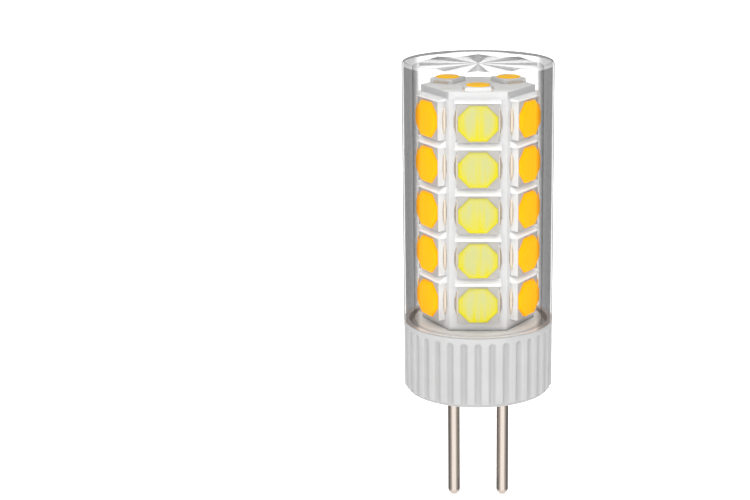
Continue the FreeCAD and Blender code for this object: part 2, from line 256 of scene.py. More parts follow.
def turned_shell(points, steps):
    """A ring of faces, turned from (radius, height) points of a half section."""
    bm = bmesh.new()
    verts = [bm.verts.new((radius, 0, height)) for radius, height in points]
    edges = [bm.edges.new(pair) for pair in zip(verts, verts[1:])]
    bmesh.ops.spin(bm, geom=verts + edges, cent=(0, 0, 0), axis=(0, 0, 1), angle=2 * math.pi,
                   steps=steps, use_merge=True)
    bmesh.ops.remove_doubles(bm, verts=bm.verts, dist=MERGE_DISTANCE)
    return bm


def quarter_round(centre_radius, centre_height, radius, start, count=6):
    """Points of a quarter circle in a half section, anticlockwise from an angle in degrees."""
    points = []
    for step in range(count + 1):
        angle = math.radians(start + 90 * step / count)
        points.append((centre_radius + radius * math.cos(angle), centre_height + radius * math.sin(angle)))
    return points


def eased(share):
    """A share, held between 0 and 1, that sets off and ends softly."""
    held = min(1, max(0, share))
    return held * held * (3 - 2 * held)


def block(bm, low, high):
    """A box between two corners. Returns its vertices."""
    low, high = Vector(low), Vector(high)
    verts = bmesh.ops.create_cube(bm, size=1)["verts"]
    bmesh.ops.scale(bm, vec=high - low, verts=verts)
    bmesh.ops.translate(bm, vec=(low + high) / 2, verts=verts)
    return verts


def edges_within(bm, verts):
    """Edges that join the given vertices."""
    chosen = set(verts)
    return [edge for edge in bm.edges if chosen.issuperset(edge.verts)]


def faces_within(bm, verts):
    """Faces that lie between the given vertices."""
    chosen = set(verts)
    return [face for face in bm.faces if chosen.issuperset(face.verts)]


def vertices_of(geometry):
    """The vertices in an operator's list of geometry."""
    return [item for item in geometry if isinstance(item, bmesh.types.BMVert)]


def bevel_edges(bm, edges, offset, segments):
    """Rounds edges. Returns what the bevel made."""
    return bmesh.ops.bevel(bm, geom=edges, offset=offset, affect="EDGES", segments=segments, profile=0.5,
                           material=-1, clamp_overlap=True)


def turn_verts(bm, verts, angle):
    """Turns vertices about the lamp's axis."""
    bmesh.ops.rotate(bm, cent=(0, 0, 0), matrix=Matrix.Rotation(angle, 3, "Z"), verts=verts)


def copies_round(bm, count):
    """Adds turned copies of the whole mesh, evenly round the axis."""
    first = bm.verts[:] + bm.edges[:] + bm.faces[:]
    for copy in range(1, count):
        made = bmesh.ops.duplicate(bm, geom=first)["geom"]
        turn_verts(bm, vertices_of(made), 2 * math.pi * copy / count)


def octagon_plate(bm, low, high, axis, outer, corner_cut, bevel):
    """A plate with its corners cut off along one axis and the rim of its outer face rounded."""
    verts = block(bm, low, high)
    corners = [edge for edge in edges_within(bm, verts)
               if abs(edge.verts[0].co[axis] - edge.verts[1].co[axis]) > MERGE_DISTANCE]
    verts = bevel_edges(bm, corners, corner_cut, segments=1)["verts"]
    outer_verts = [vert for vert in verts if abs(vert.co[axis] - outer) < MERGE_DISTANCE]
    bevel_edges(bm, edges_within(bm, outer_verts), bevel, segments=4)


def finish_piece(bm, name, materials, node, smooth_angle=40):
    """Closes a mesh and links it as a piece that rides on the lamp and stands for a CAD node."""
    bmesh.ops.remove_doubles(bm, verts=bm.verts, dist=MERGE_DISTANCE)
    bmesh.ops.dissolve_degenerate(bm, dist=MERGE_DISTANCE, edges=bm.edges)
    bmesh.ops.recalc_face_normals(bm, faces=bm.faces)
    mesh = bpy.data.meshes.new(name)
    bm.to_mesh(mesh)
    bm.free()
    if not mesh.polygons:
        raise RuntimeError(f"{name} came out empty")
    for material in materials:
        mesh.materials.append(material)
    mesh.shade_smooth()
    mesh.set_sharp_from_angle(angle=math.radians(smooth_angle))
    piece = bpy.data.objects.new(name, mesh)
    bpy.context.scene.collection.objects.link(piece)
    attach(piece, "root")
    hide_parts(node)


# Nodes of the materials

def add_node(tree, kind, inputs=None, **options):
    """Adds a shader node, sets its options, and feeds its inputs with sockets or plain values."""
    node = tree.nodes.new("ShaderNode" + kind)
    for option, value in options.items():
        setattr(node, option, value)
    for key, value in (inputs or {}).items():
        if isinstance(value, bpy.types.NodeSocket):
            tree.links.new(value, node.inputs[key])
        else:
            node.inputs[key].default_value = value
    return node


def arithmetic(tree, operation, *values):
    """A sum worked out on sockets or numbers."""
    return add_node(tree, "Math", dict(enumerate(values)), operation=operation).outputs["Value"]


def map_range(tree, source, low, high, to_low=0, to_high=1):
    """Carries a measure from one span to another and holds it at the ends."""
    spans = {"From Min": low, "From Max": high, "To Min": to_low, "To Max": to_high}
    return add_node(tree, "MapRange", {"Value": source, **spans}).outputs["Result"]


def colour_ramp(tree, source, stops, interpolation="LINEAR"):
    """Runs a measure through colours at the given stops."""
    node = add_node(tree, "ValToRGB", {"Fac": source})
    node.color_ramp.interpolation = interpolation
    elements = node.color_ramp.elements
    while len(elements) < len(stops):
        elements.new(1)
    for element, (position, tone) in zip(elements, stops):
        element.position = position
        element.color = (*tone, 1)
    return node.outputs["Color"]


def grey_ramp(tree, source, stops, interpolation="LINEAR"):
    """Runs a measure through greys at the given stops."""
    greys = [(position, (value, value, value)) for position, value in stops]
    return colour_ramp(tree, source, greys, interpolation)


def mix_colours(tree, factor, first, second, blend_type="MIX"):
    """Mixes two colours, by the node's own sockets for colours."""
    node = add_node(tree, "Mix", {0: factor, 6: first, 7: second}, data_type="RGBA", blend_type=blend_type)
    return node.outputs[2]


def object_place(tree, scale=(1, 1, 1)):
    """Object coordinates stretched by a scale on each axis."""
    coordinates = add_node(tree, "TexCoord").outputs["Object"]
    return add_node(tree, "Mapping", {"Vector": coordinates, "Scale": scale}).outputs["Vector"]


def axis_reach(tree):
    """Distance from the lamp's axis."""
    level = object_place(tree, (1, 1, 0))
    return add_node(tree, "VectorMath", {0: level}, operation="LENGTH").outputs["Value"]


def noise(tree, size, stretch=1, detail=3):
    """Fractal noise with grains of a size in metres, stretched along Z."""
    grains = object_place(tree, (1 / size, 1 / size, 1 / (stretch * size)))
    return add_node(tree, "TexNoise", {"Vector": grains, "Scale": 1, "Detail": detail}).outputs["Fac"]


def vary_colour(tree, source, low, high, spread):
    """A colour that a noise runs between two tones."""
    return colour_ramp(tree, source, [(0.5 - spread, low), (0.5 + spread, high)])


def vary_number(tree, source, low, high, spread):
    """A number that a noise runs between two values."""
    return map_range(tree, source, 0.5 - spread, 0.5 + spread, low, high)


def relief(tree, source, strength):
    """Raises a noise as fine relief."""
    inputs = {"Height": source, "Strength": strength, "Distance": RELIEF_DEPTH}
    return add_node(tree, "Bump", inputs).outputs["Normal"]


def facing(tree, **inputs):
    """How far a surface turns away from the eye."""
    return add_node(tree, "LayerWeight", inputs).outputs["Facing"]


def shade(tone, factor):
    """A tone made darker or lighter."""
    return tuple(min(1.0, channel * factor) for channel in tone)


def plain_grey(value):
    """A grey for a colour socket."""
    return (value, value, value, 1)


def new_material(name):
    """A material with an empty node tree."""
    material = bpy.data.materials.new(name)
    material.use_nodes = True
    material.node_tree.nodes.clear()
    return material


def principled(tree, inputs):
    """Closes a material's tree with a principled shader."""
    shader = add_node(tree, "BsdfPrincipled", inputs)
    add_node(tree, "OutputMaterial", {"Surface": shader.outputs["BSDF"]})


# Plastics

# Painted light and shade of the rosette, for the room seen through its pleats: greys from the middle of a fan
# to the clear gap beside it
ROSETTE_STOPS = [(0, 0.46), (0.2, 0.32), (0.25, 0.55), (0.3, 0.78), (0.5, 0.84)]
# Share of light that polished plastic reflects, from face-on to grazing
GLOSS_STOPS = [(0, 0.006), (0.5, 0.02), (0.7, 0.08), (0.85, 0.15), (1, 0.5)]
RIM_GLOSS_STOPS = [(0, 0.006), (1, 0.06)]
# Greys of the inner wall, from face-on to grazing
INNER_STOPS = [(0, 1), (1, 0.9)]
# Painted reflection on the outer wall: greys of its band, from a look along it to face-on, and of its
# outline, up to grazing
BAND_STOPS = [(0.05, 0.42), (0.1, 0.4), (0.17, 0.43), (0.21, 0.6), (0.255, 0.99)]
OUTLINE_STOPS = [(0.77, 0.55), (0.79, 0.8), (0.84, 0.86), (0.88, 0.45), (1, 0.3)]
# Where the outer wall's painted band gives way to its painted outline
OUTLINE_START = [(0.76, 0), (0.78, 1)]
# The rim's grey is a painted reflection that follows a Fresnel term whose high index stands for the mirror
# inside the rim
RIM_IOR = 2.2
RIM_STOPS = [(0.17, 0.93), (0.4, 0.65), (1, 0.2)]
# Greys of the painted shadow at the carrier's foot, from the driver board up
FOOT_SHADOW_STOPS = [(0, 0.35), (0.25, 0.5), (0.4, 0.75), (1, 1)]


def moulded_plastic(name, tone, roughness, grain, shadow=None):
    """Opaque moulding with a faint mottle, a fine spark-eroded grain and, where given, a shadow."""
    material = new_material(name)
    tree = material.node_tree
    cloud = noise(tree, size=2.2 * MM)
    mottle = vary_colour(tree, cloud, low=shade(tone, 0.96), high=shade(tone, 1.03), spread=0.25)
    if shadow:
        # Where given, a painted shadow darkens the mottle
        mottle = mix_colours(tree, 1, mottle, shadow(tree), "MULTIPLY")
    fine = noise(tree, size=grain, detail=2)
    principled(tree, {
        "Base Color": mottle,
        "Roughness": vary_number(tree, fine, low=0.9 * roughness, high=1.1 * roughness, spread=0.25),
        "Normal": relief(tree, fine, strength=0.08),
    })
    return material


def fluted_plastic(tone, deep, radius, depth):
    """The base's moulding, with painted shade that darkens it in the depth of the flutes."""
    def shadow(tree):
        # Painted shade, deepest at the flutes' floor
        height = map_range(tree, axis_reach(tree), low=radius - 0.9 * depth, high=radius - 0.1 * depth)
        return grey_ramp(tree, height, [(0, deep), (1, 1)])

    return moulded_plastic("base plastic", tone, roughness=0.38, grain=0.06 * MM, shadow=shadow)


def carrier_plastic(tone, foot, shadow_height):
    """The carrier's white moulding, with a painted shadow, a grey line, where its foot meets the driver
    board.
    """
    def shadow(tree):
        axes = add_node(tree, "SeparateXYZ", {"Vector": object_place(tree)})
        # Painted shadow, darkest at the driver board
        height = map_range(tree, axes.outputs["Z"], low=foot, high=foot + shadow_height)
        return grey_ramp(tree, height, FOOT_SHADOW_STOPS)

    return moulded_plastic("carrier plastic", tone, roughness=0.3, grain=0.05 * MM, shadow=shadow)


def clear_plastic(name, tint_and_painted_reflection, gloss_stops=GLOSS_STOPS):
    """Polished clear plastic with slight flow lines in its gloss, see-through in a colour that a function
    gives: a trace of grey on the inner wall, painted reflection on the outer wall, pleats and rim.
    """
    material = new_material(name)
    tree = material.node_tree
    flow = noise(tree, size=3 * MM, stretch=6)
    roughness = vary_number(tree, flow, low=0.01, high=0.05, spread=0.3)
    gloss = add_node(tree, "BsdfGlossy", {"Roughness": roughness})
    clear = add_node(tree, "BsdfTransparent", {"Color": tint_and_painted_reflection(tree)})
    share = grey_ramp(tree, facing(tree), gloss_stops)
    blend = add_node(tree, "MixShader", {0: share, 1: clear.outputs["BSDF"], 2: gloss.outputs["BSDF"]})
    add_node(tree, "OutputMaterial", {"Surface": blend.outputs["Shader"]})
    return material


def inner_tint(tree):
    """A trace of grey towards grazing."""
    return grey_ramp(tree, facing(tree), INNER_STOPS)


def wall_painted_reflection(tree):
    """Painted reflection: grey where one looks along the wall, then bright and outlined at its very edge."""
    level = object_place(tree, (1, 1, 0))
    along = add_node(tree, "VectorMath", {0: (0, 0, 1), 1: level}, operation="CROSS_PRODUCT")
    direction = add_node(tree, "VectorMath", {0: along.outputs["Vector"]}, operation="NORMALIZE")
    band = grey_ramp(tree, facing(tree, Normal=direction.outputs["Vector"]), BAND_STOPS)
    grazing = facing(tree)
    outline = grey_ramp(tree, grazing, OUTLINE_STOPS)
    return mix_colours(tree, grey_ramp(tree, grazing, OUTLINE_START), band, outline)


def rosette_painted_refraction(tree):
    """Painted light and shade for the room seen through the pleats: a grey fan in every eighth of a turn,
    darkest along its sides.
    """
    turn = add_node(tree, "TexGradient", {"Vector": object_place(tree)}, gradient_type="RADIAL")
    fans = arithmetic(tree, "MULTIPLY", turn.outputs["Fac"], FANS)
    return grey_ramp(tree, arithmetic(tree, "PINGPONG", fans, 0.5), ROSETTE_STOPS)


def rim_painted_reflection(tree):
    """Painted reflection: grey where the rim would mirror from inside."""
    mirror = add_node(tree, "Fresnel", {"IOR": RIM_IOR})
    return grey_ramp(tree, mirror.outputs["Fac"], RIM_STOPS)


# Metals and phosphor

# How fast the streaks of the front phosphor pale upwards
PALING_UPWARDS = 0.1 / MM


def drawn_metal(name, tone, roughness, line_size, metallic=1):
    """Plated metal with drawing lines along Z."""
    material = new_material(name)
    tree = material.node_tree
    lines = noise(tree, size=line_size, stretch=60)
    principled(tree, {
        "Base Color": vary_colour(tree, lines, low=shade(tone, 0.93), high=shade(tone, 1.06), spread=0.25),
        "Metallic": metallic,
        "Roughness": vary_number(tree, lines, low=0.8 * roughness, high=1.25 * roughness, spread=0.3),
    })
    return material


def rim_faded(tree, source, rows):
    """Draws a noise towards zero at the rims and the lower ends of the front column's phosphors."""
    half_pitch = (rows[1] - rows[0]) / 2
    axes = add_node(tree, "SeparateXYZ", {"Vector": object_place(tree)})
    wrapped = arithmetic(tree, "WRAP", axes.outputs["Z"], rows[0] + half_pitch, rows[0] - half_pitch)
    height = arithmetic(tree, "SUBTRACT", wrapped, rows[0])
    flat = add_node(tree, "CombineXYZ", {"X": axes.outputs["X"], "Y": height})
    reach = add_node(tree, "VectorMath", {0: flat.outputs["Vector"]}, operation="LENGTH")
    fade = map_range(tree, reach.outputs["Value"], low=1.2 * MM, high=2 * MM, to_low=1.25, to_high=0.55)
    faded = arithmetic(tree, "MULTIPLY", source, fade)
    return arithmetic(tree, "MULTIPLY_ADD", height, PALING_UPWARDS, faded)


def phosphor_gel(name, deep, pale, streak, glow, rows=None):
    """Silicone filled with phosphor, streaked along Z, with a slight painted glow that stands in part for its
    fluorescence in daylight.
    """
    material = new_material(name)
    tree = material.node_tree
    streaks = noise(tree, size=streak, stretch=12, detail=2)
    if rows:
        streaks = rim_faded(tree, streaks, rows)
    tone = vary_colour(tree, streaks, deep, pale, spread=0.28)
    principled(tree, {
        "Base Color": tone,
        "Roughness": 0.3,
        "Specular IOR Level": 0.08,
        # Painted light: the phosphor glows in its own colour
        "Emission Color": tone,
        "Emission Strength": glow,
        "Normal": relief(tree, noise(tree, size=0.12 * MM), strength=0.04),
    })
    return material


# Pieces

class LAMP_OT_cover(bpy.types.Operator):
    """Builds the clear cover with its rounded edge, skirt and pleated rosette"""
    bl_idname = "lamp.cover"
    bl_label = "Cover"

    INNER_WALL, OUTER_WALL, PLEATS, SEAT, RIM = range(5)

    def execute(self, context):
        s = context.scene.corn_lamp.cover
        seat = base_high.z + s.seat_gap
        top = cover_high.z
        ceiling = top - s.top_thickness
        inner = s.radius - s.wall
        skirt = s.radius - s.skirt_gap
        corner = s.corner_round
        points = [(inner - 2 * corner, ceiling), (inner - corner, ceiling)]
        points += reversed(quarter_round(inner - corner, ceiling - corner, corner, start=0))
        points += [(inner, seat), (inner, cover_low.z), (skirt, cover_low.z), (skirt, seat), (s.radius, seat)]
        points += quarter_round(s.radius - s.edge_round, top - s.edge_round, s.edge_round, start=0, count=10)
        points += [(0, top)]
        bm = turned_shell(points, steps=128)
        opening = [edge for edge in bm.edges if edge.is_boundary]
        bmesh.ops.bridge_loops(bm, edges=opening + self.fold_rosette(bm, s, ceiling))
        for face in bm.faces:
            middle = face.calc_center_median()
            if middle.z < seat + MERGE_DISTANCE:
                face.material_index = self.SEAT
            elif math.hypot(*middle.xy) > s.radius - s.wall / 2:
                face.material_index = self.RIM if middle.z > top - s.edge_round else self.OUTER_WALL
        materials = {
            self.INNER_WALL: clear_plastic("clear inner wall", inner_tint),
            # The outer wall, the pleats and the rim show painted reflections in their see-through colour
            self.OUTER_WALL: clear_plastic("clear outer wall", wall_painted_reflection),
            self.PLEATS: clear_plastic("clear pleats", rosette_painted_refraction),
            self.SEAT: moulded_plastic("frosted seat", s.seat_tone, roughness=0.35, grain=0.05 * MM),
            self.RIM: clear_plastic("clear rim", rim_painted_reflection, RIM_GLOSS_STOPS),
        }
        finish_piece(bm, "clear_cover", materials.values(), "cover", smooth_angle=30)
        return {"FINISHED"}

    def fold_rosette(self, bm, s, ceiling):
        """Folds a disc into pleats under the top. Returns the edges of its outline."""
        fold_turn = math.pi / FANS
        verts = bmesh.ops.create_circle(bm, cap_ends=True, cap_tris=True, segments=2 * FANS,
                                        radius=s.rosette_radius)["verts"]
        for vert in verts:
            fold = round(math.atan2(vert.co.y, vert.co.x) / fold_turn)
            if vert.co.length < s.rosette_radius / 2:
                vert.co.z = s.rosette_centre
            elif fold % 2 == 0:
                vert.co *= math.cos(fold_turn)
                vert.co.z = s.rosette_depth
            vert.co.z += ceiling
        for face in faces_within(bm, verts):
            face.material_index = self.PLEATS
        return [edge for edge in edges_within(bm, verts) if edge.is_boundary]


class LAMP_OT_base(bpy.types.Operator):
    """Builds the moulded base with its ring of rounded flutes"""
    bl_idname = "lamp.base"
    bl_label = "Base"

    # Places across a flute, from its middle towards the rib, in half widths of the flute
    STATIONS = (0, 0.35, 0.6, 0.85, 1.1, 1.35, 1.65, 2.0)
    CROWN_ROWS = 14

    def execute(self, context):
        s = context.scene.corn_lamp.base
        half = s.flute_width / 2
        flute_top = s.height - s.shoulder_height
        crown = flute_top - half
        foot = s.radius - s.flute_depth
        edge = s.foot_round
        slope = s.flute_round
        shoulder = s.shoulder_round
        rim = s.radius - s.rim_wall
        ledge = s.height - s.ledge_depth
        points = [(0, 0), (foot - edge, 0), (foot, edge), (foot, s.foot_height)]
        points += [(s.radius - edge, s.foot_height), (s.radius, s.foot_height + edge)]
        points += [(s.radius, crown / 2), (s.radius, crown - edge)]
        for row in range(self.CROWN_ROWS + 1):
            points.append((s.radius, crown + (half + slope) * row / self.CROWN_ROWS))
        points += quarter_round(s.radius - shoulder, s.height - shoulder, shoulder, start=0)
        points += [(rim, s.height), (rim, ledge), (s.cavity_radius, ledge)]
        points += [(s.cavity_radius, s.floor), (0, s.floor)]

        # Each flute takes the columns of the shell from the middle of one rib to the next
        pitch = 2 * math.pi / s.flutes
        rib = pitch * s.radius / 2 / half
        across = [-rib] + [-station for station in reversed(self.STATIONS[1:])] + list(self.STATIONS)
        columns = s.flutes * len(across)
        bm = turned_shell(points, steps=columns)
        for vert in bm.verts:
            radius = math.hypot(*vert.co.xy)
            if radius < MERGE_DISTANCE:
                continue
            column = round(math.atan2(vert.co.y, vert.co.x) / (2 * math.pi / columns)) % columns
            flute, station = divmod(column, len(across))
            offset = across[station] * half
            height = vert.co.z
            if radius > foot + MERGE_DISTANCE and height < flute_top + slope:
                gap = math.hypot(offset, max(0, height - crown)) - half
                depth = s.flute_depth * eased((slope - gap) / (2 * slope))
                radius = max(foot, radius - depth)
            angle = -math.pi / 2 + flute * pitch + offset / s.radius
            vert.co = (radius * math.cos(angle), radius * math.sin(angle), height)
        material = fluted_plastic(s.tone, s.flute_painted_shade, s.radius, s.flute_depth)
        finish_piece(bm, "fluted_base", [material], "base", smooth_angle=50)
        return {"FINISHED"}


class LAMP_OT_pins(bpy.types.Operator):
    """Builds the two contact pins with rounded tips"""
    bl_idname = "lamp.pins"
    bl_label = "Contact pins"

    def execute(self, context):
        s = context.scene.corn_lamp.pins
        half = s.neck_width / 2
        material = drawn_metal("pin metal", s.tone, roughness=0.2, line_size=0.05 * MM)
        for side, hand in ((-1, "left"), (1, "right")):
            points = quarter_round(0, pin_low.z + s.radius, s.radius, start=-90, count=10)
            points += [(s.radius, s.seat), (0, s.seat)]
            bm = turned_shell(points, steps=48)
            block(bm, (-half, -half, s.seat), (half, half, pin_high.z))
            bmesh.ops.translate(bm, vec=(side * s.offset, 0, 0), verts=bm.verts)
            finish_piece(bm, f"plated_pin_{hand}", [material], f"contact_pin_{hand}")
        return {"FINISHED"}


class LAMP_OT_carrier(bpy.types.Operator):
    """Builds the white carrier from its solid, with its edges bevelled"""
    bl_idname = "lamp.carrier"
    bl_label = "LED carrier"

    FLAT_ANGLE = math.radians(1)
    CORNER_ANGLE = math.radians(20)

    def execute(self, context):
        s = context.scene.corn_lamp.core
        bm = bmesh.new()
        bm.from_mesh(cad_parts["led_carrier"].data)
        bmesh.ops.remove_doubles(bm, verts=bm.verts, dist=MERGE_DISTANCE)
        bmesh.ops.dissolve_limit(bm, angle_limit=self.FLAT_ANGLE, verts=bm.verts, edges=bm.edges)
        corners = [edge for edge in bm.edges
                   if len(edge.link_faces) == 2 and edge.calc_face_angle() > self.CORNER_ANGLE]
        bevel_edges(bm, corners, s.carrier_edge, segments=1)

        # The bars are what stands out beyond the six walls
        front = Vector((0, -1, 0))
        outward = [Matrix.Rotation(side * SIDE_TURN, 3, "Z") @ front for side in range(SIDES)]
        wall = -carrier_low.y - s.bar_projection + 2 * s.carrier_edge
        for face in bm.faces:
            middle = face.calc_center_median()
            face.material_index = int(max(middle.dot(way) for way in outward) > wall)
        walls = carrier_plastic(s.carrier_tone, driver_board_high.z, s.foot_shadow_height)
        # Painted light: the bars get a lighter copy of the carrier's white
        bars = moulded_plastic("bar plastic", s.bar_lit_tone, roughness=0.25, grain=0.05 * MM)
        finish_piece(bm, "white_carrier", [walls, bars], "led_carrier", smooth_angle=20)
        return {"FINISHED"}


class LAMP_OT_packages(bpy.types.Operator):
    """Builds the thirty side LED packages: housings, phosphors and end contacts"""
    bl_idname = "lamp.packages"
    bl_label = "Side LED packages"

    # A housing's face looks at least this far to the front
    FRONT_NORMAL = -0.9

    def execute(self, context):
        s = context.scene.corn_lamp.packages
        pitch = (housing_high.z - housing_low.z - s.height) / (ROWS - 1)
        rows = [housing_low.z + s.height / 2 + pitch * row for row in range(ROWS)]
        face = moulded_plastic("housing face", s.housing_tone, roughness=0.35, grain=0.04 * MM)
        wall = moulded_plastic("housing wall", s.housing_wall_tone, roughness=0.35, grain=0.04 * MM)
        amber = phosphor_gel("amber phosphor", s.amber_deep, s.amber_pale, s.amber_streak, s.amber_painted_glow)
        lemon = phosphor_gel("lemon phosphor", s.lemon_deep, s.lemon_pale, s.lemon_streak, s.lemon_painted_glow, rows)
        plating = drawn_metal("terminal plating", s.terminal_tone, roughness=0.22, line_size=0.06 * MM,
                              metallic=0.85)
        makers = (
            (self.add_housing, "housings", "housing_plastic", [(face, wall)] * SIDES),
            (self.add_phosphor, "phosphors", "phosphor", [(lemon,)] + [(amber,)] * (SIDES - 1)),
            (self.add_terminals, "terminals", "terminal_metal", [(plating,)] * SIDES),
        )
        for add, kind, slot, materials in makers:
            for side in range(SIDES):
                bm = bmesh.new()
                for height in rows:
                    add(bm, s, height)
                turn_verts(bm, bm.verts, side * SIDE_TURN)
                finish_piece(bm, f"{kind}_{side + 1}", materials[side], f"led_{kind}_{side + 1}")
        return {"FINISHED"}

    def add_housing(self, bm, s, height):
        """A bevelled housing with its face in the first material and its walls in the second."""
        verts = block(bm, (housing_low.x, housing_low.y, height - s.height / 2),
                      (housing_high.x, housing_high.y, height + s.height / 2))
        bevel_edges(bm, edges_within(bm, verts), s.edge, segments=2)
        bm.normal_update()
        for face in bm.faces:
            face.material_index = 0 if face.normal.y < self.FRONT_NORMAL else 1

    def add_phosphor(self, bm, s, height):
        """An eight-sided phosphor window on the housing's face."""
        octagon_plate(bm, (phosphor_low.x, phosphor_low.y, height - s.phosphor_height / 2),
                      (phosphor_high.x, housing_low.y, height + s.phosphor_height / 2),
                      axis=1, outer=phosphor_low.y, corner_cut=s.corner_cut, bevel=s.phosphor_bevel)

    def add_terminals(self, bm, s, height):
        """Half an ellipsoid at each end of a housing."""
        reach = terminal_high.x - housing_high.x
        half_depth = (terminal_high.y - terminal_low.y) / 2
        middle = (terminal_low.y + terminal_high.y) / 2
        for side in (-1, 1):
            seat = (side * housing_high.x, middle, height)
            verts = bmesh.ops.create_uvsphere(bm, u_segments=16, v_segments=12, radius=1)["verts"]
            bmesh.ops.scale(bm, vec=(reach, half_depth, s.terminal_height / 2), verts=verts)
            bmesh.ops.translate(bm, vec=seat, verts=verts)
            cap = verts + edges_within(bm, verts) + faces_within(bm, verts)
            cut = bmesh.ops.bisect_plane(bm, geom=cap, dist=MERGE_DISTANCE, plane_co=seat,
                                         plane_no=(-side, 0, 0), clear_outer=True)["geom_cut"]
            bmesh.ops.holes_fill(bm, edges=[item for item in cut if isinstance(item, bmesh.types.BMEdge)])


class LAMP_OT_top(bpy.types.Operator):
    """Builds the six-sided top board and its three small LED packages"""
    bl_idname = "lamp.top"
    bl_label = "Top board"

    # The board's cut edge looks no further up or down than this
    EDGE_NORMAL = 0.5

    def execute(self, context):
        self.lay_board(context.scene.corn_lamp.core)
        self.set_housings(context.scene.corn_lamp.packages)
        self.set_phosphors(context.scene.corn_lamp.packages)
        return {"FINISHED"}

    def lay_board(self, s):
        """The board under its mask, with its face in the first material and its edge in the second."""
        bm = bmesh.new()
        verts = bmesh.ops.create_circle(bm, cap_ends=True, segments=SIDES, radius=board_high.x)["verts"]
        turn_verts(bm, verts, math.pi / 2)
        bmesh.ops.translate(bm, vec=(0, 0, board_low.z), verts=verts)
        raised = vertices_of(bmesh.ops.extrude_face_region(bm, geom=bm.faces[:])["geom"])
        bmesh.ops.translate(bm, vec=(0, 0, board_high.z - board_low.z + s.board_mask), verts=raised)
        bevel_edges(bm, edges_within(bm, raised), s.board_edge, segments=2)
        for side_face in bm.faces:
            side_face.material_index = 1 if abs(side_face.normal.z) < self.EDGE_NORMAL else 0
        face = moulded_plastic("top board face", s.board_tone, roughness=0.3, grain=0.05 * MM)
        edge = drawn_metal("top board edge", s.edge_tone, roughness=0.35, line_size=0.05 * MM, metallic=0.4)
        finish_piece(bm, "hex_board", [face, edge], "top_board", smooth_angle=30)

    def set_housings(self, s):
        """Three bevelled housings on the board."""
        half = -(top_housing_low.y + s.top_offset)
        bm = bmesh.new()
        verts = block(bm, (-half, -s.top_offset - half, board_high.z),
                      (half, -s.top_offset + half, top_housing_high.z))
        bevel_edges(bm, edges_within(bm, verts), s.edge, segments=2)
        copies_round(bm, TOP_LEDS)
        white = moulded_plastic("top housing plastic", s.top_housing_tone, roughness=0.35, grain=0.04 * MM)
        finish_piece(bm, "top_housings", [white], "top_led_housings")

    def set_phosphors(self, s):
        """Three eight-sided phosphor windows on those housings."""
        half = s.top_phosphor / 2
        bm = bmesh.new()
        octagon_plate(bm, (-half, -s.top_offset - half, top_housing_high.z),
                      (half, -s.top_offset + half, top_phosphor_high.z),
                      axis=2, outer=top_phosphor_high.z, corner_cut=s.top_corner_cut, bevel=s.top_bevel)
        copies_round(bm, TOP_LEDS)
        amber = phosphor_gel("top amber phosphor", s.top_amber_deep, s.top_amber_pale, s.amber_streak,
                             s.amber_painted_glow)
        finish_piece(bm, "top_phosphors", [amber], "top_led_phosphors")


class LAMP_OT_boards(bpy.types.Operator):
    """Gives the boards and the parts inside the lamp their materials"""
    bl_idname = "lamp.boards"
    bl_label = "Boards and driver"

    def execute(self, context):
        core = context.scene.corn_lamp.core
        packages = context.scene.corn_lamp.packages
        white = moulded_plastic("white solder mask", core.board_tone, roughness=0.35, grain=0.05 * MM)
        cream = moulded_plastic("cream laminate", core.cream_tone, roughness=0.45, grain=0.08 * MM)
        black = moulded_plastic("black moulding compound", core.compound_tone, roughness=0.5, grain=0.04 * MM)
        can = drawn_metal("capacitor can", core.can_tone, roughness=0.3, line_size=0.05 * MM)
        solder = drawn_metal("solder", core.solder_tone, roughness=0.25, line_size=0.1 * MM)
        plating = drawn_metal("foot plating", packages.terminal_tone, roughness=0.35, line_size=0.06 * MM)
        finishes = {f"strip_board_{side + 1}": (white, "board_white") for side in range(SIDES)}
        finishes["driver_board"] = (cream, "board_cream")
        finishes["bridge_rectifier"] = (black, "component_black")
        finishes["driver_chip"] = (black, "component_black")
        finishes["sense_resistors"] = (black, "component_black")
        finishes["smoothing_capacitor"] = (can, "capacitor_can")
        finishes["pin_solder_joints"] = (solder, "solder")
        finishes["top_led_terminals"] = (plating, "terminal_metal")
        for node, (material, slot) in finishes.items():
            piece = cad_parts[node]
            piece.data.materials.clear()
            piece.data.materials.append(material)
        return {"FINISHED"}


